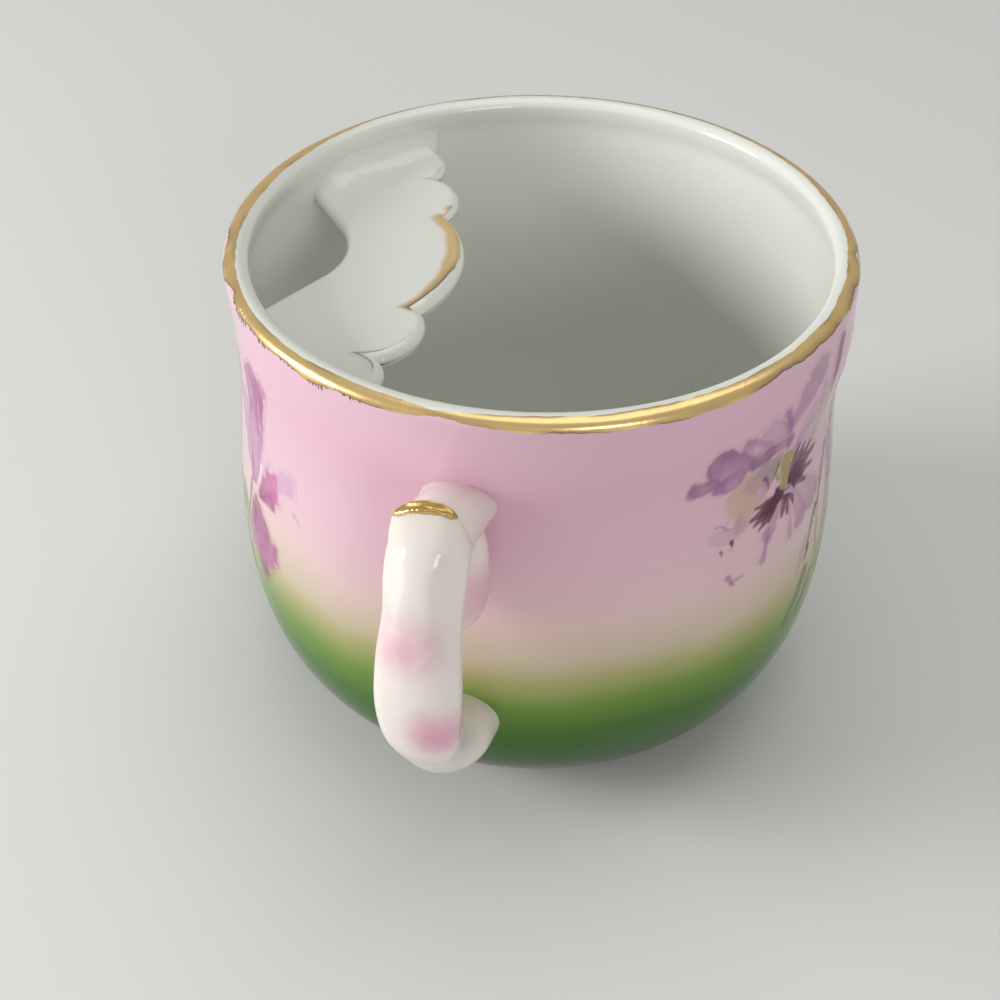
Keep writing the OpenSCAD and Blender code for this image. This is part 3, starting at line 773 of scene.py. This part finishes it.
def laid(ink, colour, cover):
    """Lays a colour over the print so far at a cover from 0 to 1."""
    cover = cover[..., None]
    alpha = cover + ink[..., 3:] * (1 - cover)
    ink[..., :3] = (colour * cover + ink[..., :3] * ink[..., 3:] * (1 - cover)) / np.maximum(alpha, 1e-6)
    ink[..., 3:] = alpha


def petal(sheet, x0, y0, x1, y1, narrow, wide, colours, cover, seed):
    """One petal: the shape between a narrow disc at its foot and a wide one at its tip, with a
    frilled outline, a soft border, faint veins that spread from its foot and paler clouds."""
    ink, u, v = sheet
    narrow, wide = narrow * MM, wide * MM
    inner, outer, edge, pale = (np.array(COLOURS[name]) for name in (*colours.split(), "pale"))
    p, q = u - x0 * MM, v - y0 * MM
    along = x1 * MM - x0 * MM, y1 * MM - y0 * MM
    length = math.hypot(*along)
    share = np.clip((p * along[0] + q * along[1]) / length ** 2, 0, 1)
    gap = np.hypot(p - share * along[0], q - share * along[1])
    depth = narrow + (wide - narrow) * share ** 0.8 - gap
    waves = 0.55 * ripple(u, v, 0.0042, seed + 50) + 0.30 * ripple(u, v, 0.0019, seed + 70)
    depth += min(wide, 0.003) * 0.26 * waves * (0.3 + share)
    reach = np.hypot(p, q) / (length + wide)
    fan = np.arctan2(q * along[0] - p * along[1], p * along[0] + q * along[1] + 0.25 * length ** 2)
    veins = np.abs(np.sin(fan * 22 + 1.2 * ripple(u, v, 0.005, seed))) ** 5 * (1 - reach ** 2)
    blend = soft_step(reach + 0.14 * ripple(u, v, 0.004, seed + 5), 0.20, 0.80)[..., None]
    colour = inner * (1 - blend) + outer * blend
    clouds = ripple(u, v, 0.006, seed + 8) + 0.5 * np.sin(fan * 9 + seed)
    colour += (pale - colour) * (0.24 * soft_step(clouds, 0.2, 1.1)[..., None])
    border = hump(np.maximum(depth, 0), 0, PETAL_BORDER) * (0.6 + 0.4 * ripple(u, v, 0.007, seed + 9))
    colour += (edge - colour) * np.clip(border, 0, 0.9)[..., None]
    colour *= 1 - 0.08 * veins[..., None]
    cover = cover * soft_step(depth, -0.0001, 0.0010) * (0.90 + 0.10 * ripple(u, v, 0.005, seed + 3))
    laid(ink, colour, cover)


def stroke(sheet, x0, y0, x1, y1, width, colour, cover, bend):
    """One brush stroke, bent sideways, widest at its start and thin at its end."""
    ink, u, v = sheet
    p, q = u - x0 * MM, v - y0 * MM
    along = np.array([x1 * MM - x0 * MM, y1 * MM - y0 * MM])
    length = np.hypot(*along)
    way = along / length
    share = np.clip((p * way[0] + q * way[1]) / length, 0, 1)
    beside = q * way[0] - p * way[1] - bend * length * 4 * share * (1 - share)
    past = p * way[0] + q * way[1] - share * length
    half = width * MM / 2 * (1.15 - share) ** 0.6 * (0.75 + 0.25 * ripple(u, v, 0.003, 31))
    gap = half - np.hypot(beside, past)
    laid(ink, np.array(COLOURS[colour]), cover * soft_step(gap, -0.0002, 0.0002))


# Each petal: its foot, its tip, its narrow and its wide radius in mm, its inner, outer and edge
# colours, and its cover.
RIGHT_BACK = (
    (-2.5, 74.5, 4.8, 80.8, 1.4, 3, "lilac blue blue", 0.8),
    (10.2, 75, 13.2, 81.6, 0.9, 1.8, "magenta magenta maroon", 0.95),
    (18, 66, 21.2, 69.2, 1, 3, "lilac mauve violet", 0.85),
    (17, 62, 21, 54, 1, 3.4, "mauve lilac purple", 0.8),
    (7.6, 66.8, 8.9, 73.4, 1.8, 2.8, "cream cream grey", 0.9),
    (2, 69, 5.5, 73, 1.2, 2.6, "lilac pale lilac", 0.7),
    (18.6, 65.5, 18.2, 71.6, 1, 2.3, "mauve lilac violet", 0.85),
    (19.8, 63.6, 22, 62, 1.2, 2.3, "pale lilac violet", 0.85),
)
RIGHT_FRONT = (
    (4, 60, 9, 55, 1.6, 3.4, "pale blue violet", 0.8),
    (3, 60, 5.5, 53, 1, 2.3, "pale lilac violet", 0.75),
    (2, 58, 2.4, 51, 0.7, 1.1, "mauve violet violet", 0.55),
    (-0.6, 60, -3.4, 55, 0.8, 1.9, "pale blue violet", 0.85),
    (-3.4, 56, -4.8, 50.8, 0.6, 1.2, "violet blue violet", 0.85),
    (1, 67, 4, 70, 1.2, 2.2, "lilac pale violet", 0.7),
    (-3, 68, -8.8, 65, 2.6, 4.9, "grey cream cream", 0.97),
    (-8, 63, -9.6, 60.4, 2.2, 2.2, "cream grey cream", 0.75),
    (-0.5, 70, -3.2, 77.8, 1, 1.2, "lilac violet violet", 0.9),
    (-3.6, 73.8, -5.9, 75.4, 1.9, 3.1, "pale pale purple", 0.97),
    (-0.4, 71.6, -8.6, 71.2, 1.1, 2.2, "violet purple purple", 0.95),
    (-8, 73.2, -10.4, 74.6, 1.8, 2.5, "pale lilac violet", 0.95),
    (-11.5, 71.8, -15, 73, 2.6, 3.7, "lilac violet purple", 0.97),
    (-12, 69.8, -14, 69.2, 2.2, 2.4, "lilac violet violet", 0.95),
    (-16.4, 70.6, -19.2, 70.2, 1.5, 2, "lilac violet purple", 0.97),
)
LEFT_BACK = (
    (-7, 60, -14, 68, 1.2, 4.6, "mauve lilac purple", 0.85),
    (-7, 60, -15, 57, 1.2, 4.4, "magenta mauve purple", 0.9),
    (-6, 59, -9, 50, 1.2, 4.2, "pale lilac mauve", 0.85),
    (-5, 60, -3, 68, 1.2, 3.6, "lilac mauve violet", 0.85),
    (9, 53, 4.5, 64, 1.2, 3.6, "orchid lilac violet", 0.85),
)
LEFT_FRONT = (
    (9.8, 53.5, 11, 71.4, 1.6, 4.7, "orchid mauve magenta", 0.97),
    (11.6, 66, 13.8, 73, 1.6, 2.8, "mauve mauve magenta", 0.85),
    (13.2, 54.5, 15.7, 59.8, 0.6, 1.3, "orchid mist mist", 0.85),
    (15.6, 56, 21.6, 60, 1.4, 2.8, "mist mist mist", 0.9),
    (11.6, 52, 16.6, 56.2, 0.9, 3.3, "magenta rose rose", 0.97),
    (12, 51.2, 16.6, 53.2, 0.7, 1.8, "magenta mauve mauve", 0.95),
    (10.3, 50.5, 13.8, 43, 0.6, 5.2, "dusk mauve mauve", 0.97),
    (11.8, 45, 12.4, 36.8, 3.6, 2.9, "mauve dusk mauve", 0.92),
    (9.8, 50, 8.6, 41, 0.8, 3.2, "dusk mauve mauve", 0.9),
)
# Each stamen: its foot in mm, its direction in degrees, its length and its width in mm.
RIGHT_STAMENS = (
    (-1.1, 61.4, 194, 6.8, 2.6), (-1.1, 61.4, 207, 6.6, 2.6), (-1.1, 61.4, 222, 6.4, 2.4),
    (-1.1, 61.4, 178, 5.8, 1.8), (18.4, 63.6, 42, 3.4, 1.2), (18.4, 63.4, 285, 3.6, 1.2),
    (18.2, 64, 92, 3.2, 1.2), (18.6, 63.4, 330, 3, 1.1), (-1.1, 61.4, 238, 4.6, 1.8),
    (0.6, 60.6, 258, 4.2, 1.8), (0.9, 60.4, 276, 4.2, 1.8), (1.4, 60.4, 296, 3.6, 1.5),
    (2.2, 61.4, 84, 6.8, 2.8), (2.2, 61.4, 66, 6.6, 2.8), (2.2, 61.4, 44, 7, 2.8),
    (2.2, 61.4, 22, 7.6, 2.8), (2.2, 61.4, 0, 6.6, 2.2), (2.2, 61.4, -24, 5.2, 1.8),
)
# Each stroke: its start, its end and its width in mm, its colour, its cover and its bend.
RIGHT_STEMS = (
    (19, 56, 17, 33, 3.2, "leaf", 0.55, 0.06), (8.6, 46, 6, 41, 2.6, "grey", 0.45, -0.05),
    (15.4, 61, 11.4, 49, 1.1, "olive", 0.85, 0.05), (11.8, 51, 8.4, 42.4, 1.1, "dark", 0.85, -0.05),
    (14, 58, 13.5, 40, 0.7, "olive", 0.7, -0.05), (18, 52, 14, 36, 1, "olive", 0.6, 0.04),
    (9.2, 44.6, 8.2, 42, 1.3, "dark", 0.85, 0.05), (8.8, 39, 4.2, 31, 3, "leaf", 0.75, 0.06),
    (7.2, 77, 5.2, 70.6, 0.9, "grey", 0.6, 0.05), (12, 36, 9, 30, 2.4, "leaf", 0.6, 0.1),
)
RIGHT_MARKS = (
    (-0.2, 67, 0.4, 61.2, 4.4, "yellow", 0.95, -0.1), (-5.4, 66.4, -4.2, 63.8, 1.4, "purple", 0.85, 0.1),
    (-6.4, 64.6, -5, 62, 1.6, "pale", 0.95, 0.1), (18.2, 65, 18.5, 62.6, 1.6, "yellow", 0.95, 0.1),
    (0.8, 60.8, 2.8, 59.4, 1.9, "pale", 0.95, 0.1), (-2.4, 68, -3.4, 65, 0.6, "dark", 0.75, 0.05),
    (-0.4, 61.4, 2.6, 61.2, 0.6, "dark", 0.75, -0.1), (-1.2, 71, -0.8, 68.4, 0.6, "dark", 0.55, 0),
    (-2, 66.6, -0.8, 62.8, 1.1, "cream", 0.8, 0), (-14, 59.5, -11, 58.5, 4.2, "grey", 0.3, 0),
    (-15, 61.8, -12.8, 60.9, 0.5, "dark", 0.5, 0.1), (-13.6, 61.2, -11.2, 60.2, 0.4, "dark", 0.5, -0.1),
    (-12.6, 62, -13.2, 60.6, 0.4, "grey", 0.5, 0), (-11.7, 57.8, -11.5, 56.9, 1, "dark", 0.85, 0),
    (-13.8, 57, -13.5, 56, 0.6, "dark", 0.8, 0.1), (-11.4, 59.6, -10.4, 57.8, 0.4, "grey", 0.6, 0.1),
    (-12.4, 56.8, -10.8, 55.8, 0.4, "grey", 0.6, 0), (-12.2, 51.4, -11, 49.4, 1.5, "violet", 0.65, 0),
    (-11.6, 49.9, -9, 50.2, 1.2, "violet", 0.5, 0.1),
)
LEFT_STEMS = (
    (8, 52, -6, 30, 1.1, "olive", 0.8, 0.12), (3, 44, -12, 40, 6, "leaf", 0.75, -0.1),
    (-8, 52, -4, 31, 0.9, "olive", 0.8, -0.08), (-2, 40, 4, 30, 4, "leaf", 0.7, 0.1),
)
LEFT_MARKS = (
    (-9, 62, -5, 59, 3, "yellow", 0.9, 0), (-8, 60, -12, 57.5, 1.4, "maroon", 0.8, 0),
    (-7, 58.5, -8, 53.5, 1.4, "maroon", 0.8, 0), (-7.5, 61, -11, 64, 1.3, "maroon", 0.8, 0),
    (10.2, 74, 12.6, 65, 0.8, "magenta", 0.6, 0.05), (12.4, 74, 12.8, 66, 0.6, "magenta", 0.5, -0.04),
    (12.5, 64, 12.2, 55, 0.6, "purple", 0.5, 0), (12.2, 51.6, 17.4, 52.6, 1, "magenta", 0.5, 0.05),
    (12.7, 69.4, 13.2, 57.2, 0.7, "pale", 0.75, -0.03), (12.9, 57.8, 11.2, 52, 1.1, "white", 0.9, 0),
    (11.9, 52.6, 12.5, 54, 0.5, "yellow", 0.8, 0), (23.6, 55.4, 25.2, 54.2, 0.45, "dark", 0.35, 0),
)


def petals(sheet, rows, seed):
    """Petals laid one over the other, in the order of their rows."""
    for number, row in enumerate(rows):
        petal(sheet, *row, seed + number)


def strokes(sheet, rows):
    """Brush strokes, one for each row."""
    for row in rows:
        stroke(sheet, *row)


def spray_right(sheet):
    """The spray on the handle's right: a wide violet viola that looks left, the edge of a blue
    and magenta one behind it, a small mauve one on its right, their stems and a leaf."""
    strokes(sheet, RIGHT_STEMS)
    petals(sheet, RIGHT_BACK, 1)
    petals(sheet, RIGHT_FRONT, 11)
    for x, y, degrees, length, width in RIGHT_STAMENS:
        way = math.radians(degrees)
        end = x + length * math.cos(way), y + length * math.sin(way)
        stroke(sheet, x, y, *end, 1.35 * width, "maroon", 0.8, 0.04)
    strokes(sheet, RIGHT_MARKS)


def spray_left(sheet):
    """The spray on the handle's left: a magenta and mauve viola seen from the side, with a
    second flower, a leaf and stems behind it."""
    strokes(sheet, LEFT_STEMS)
    petals(sheet, LEFT_BACK, 31)
    petals(sheet, LEFT_FRONT, 41)
    strokes(sheet, LEFT_MARKS)


def printed_colour(material):
    """The spray's own colours, where it has any, over the sprayed ground."""
    inks = add(material, "Attribute", attribute_name="print")
    return mixed(material, inks.outputs["Alpha"], ground_colour_and_shade(material), inks.outputs["Color"])


def transfer(name, middle, paint):
    """A spray's skin on the wall around an angle, and its painted colours, one at each point."""
    reach = np.arange(-PRINT_HALF, PRINT_HALF, PRINT_STEP)[None, :]
    height = np.arange(PRINT_LOW, PRINT_HIGH, PRINT_STEP)[:, None]
    u, v = reach + 0 * height, height + 0 * reach
    ink = np.zeros(u.shape + (4,))
    paint((ink, u, v))
    cover = ink[..., 3]
    keep = np.maximum.reduce([cover[:-1, :-1], cover[1:, :-1], cover[:-1, 1:], cover[1:, 1:]]) > 0.01
    points = turned(outside_radius(v) + PRINT_LIFT, math.radians(middle) + u / PRINT_RADIUS, v)
    piece, used = surface(name, points, keep=keep)
    layer = piece.data.attributes.new("print", "FLOAT_COLOR", "POINT")
    layer.data.foreach_set("color", ink.reshape(-1, 4)[used].astype(np.float32).ravel())
    piece.data.materials.append(glazed(name + "_glaze", printed_colour, 0.02, 0.28, 0.13))
    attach(piece, "root")
    return piece


right_flowers = transfer("right_flowers", 62, spray_right)
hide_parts("right_spray")
left_flowers = transfer("left_flowers", -62, spray_left)
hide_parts("left_spray")


# The floor, the lights and the camera. A plain pale table, a soft window from the left, a
# weaker one behind the camera, a ceiling that shines a little and a dim pale room.
table_mesh = bpy.data.meshes.new("table")
table_mesh.from_pydata([(-3, -3, 0), (3, -3, 0), (3, 3, 0), (-3, 3, 0)], [], [(0, 1, 2, 3)])
table = new_object("table", table_mesh)
table_paint, shader = new_material("table_paint")
feed(table_paint, shader, {"Base Color": (0.74, 0.74, 0.73, 1), "Roughness": 0.6})
table.data.materials.append(table_paint)


def soft_light(name, turn, rise, distance, size, watts, colour):
    """A square soft light that looks at the middle of the cup. It stands turn degrees round
    from the handle and rise degrees up, and its distance and size are in metres."""
    lamp = bpy.data.lights.new(name, "AREA")
    lamp.shape, lamp.size, lamp.energy, lamp.color = "SQUARE", size, watts, colour
    turn, rise = math.radians(turn), math.radians(rise)
    way = Vector((math.cos(turn) * math.cos(rise), math.sin(turn) * math.cos(rise), math.sin(rise)))
    holder = new_object(name, lamp)
    holder.location = way * distance + Vector((0, 0, CUP_HEIGHT / 2))
    holder.rotation_euler = way.to_track_quat("Z", "Y").to_euler()


soft_light("left_window", -69, 19, 1.0, 0.42, 8.0, (1.0, 0.985, 0.96))
soft_light("back_window", 35, 22, 1.1, 0.35, 2.3, (1.0, 0.97, 0.93))
soft_light("ceiling", 160, 75, 1.2, 0.9, 3.4, (1.0, 1.0, 0.97))
world = bpy.data.worlds.new("room")
world.use_nodes = True
feed(world, world.node_tree.nodes["Background"], {"Color": (0.97, 0.99, 0.96, 1), "Strength": 0.385})
bpy.context.scene.world = world
bpy.context.scene.view_settings.view_transform = "Standard"

lens = bpy.data.cameras.new("camera")
lens.lens, lens.sensor_width = 50.4, 36
camera = new_object("camera", lens)
camera.location = (0.1858, 0.0416, 0.1974)
camera.rotation_euler = (math.radians(48.74), 0, math.radians(104.5))
bpy.context.scene.camera = camera
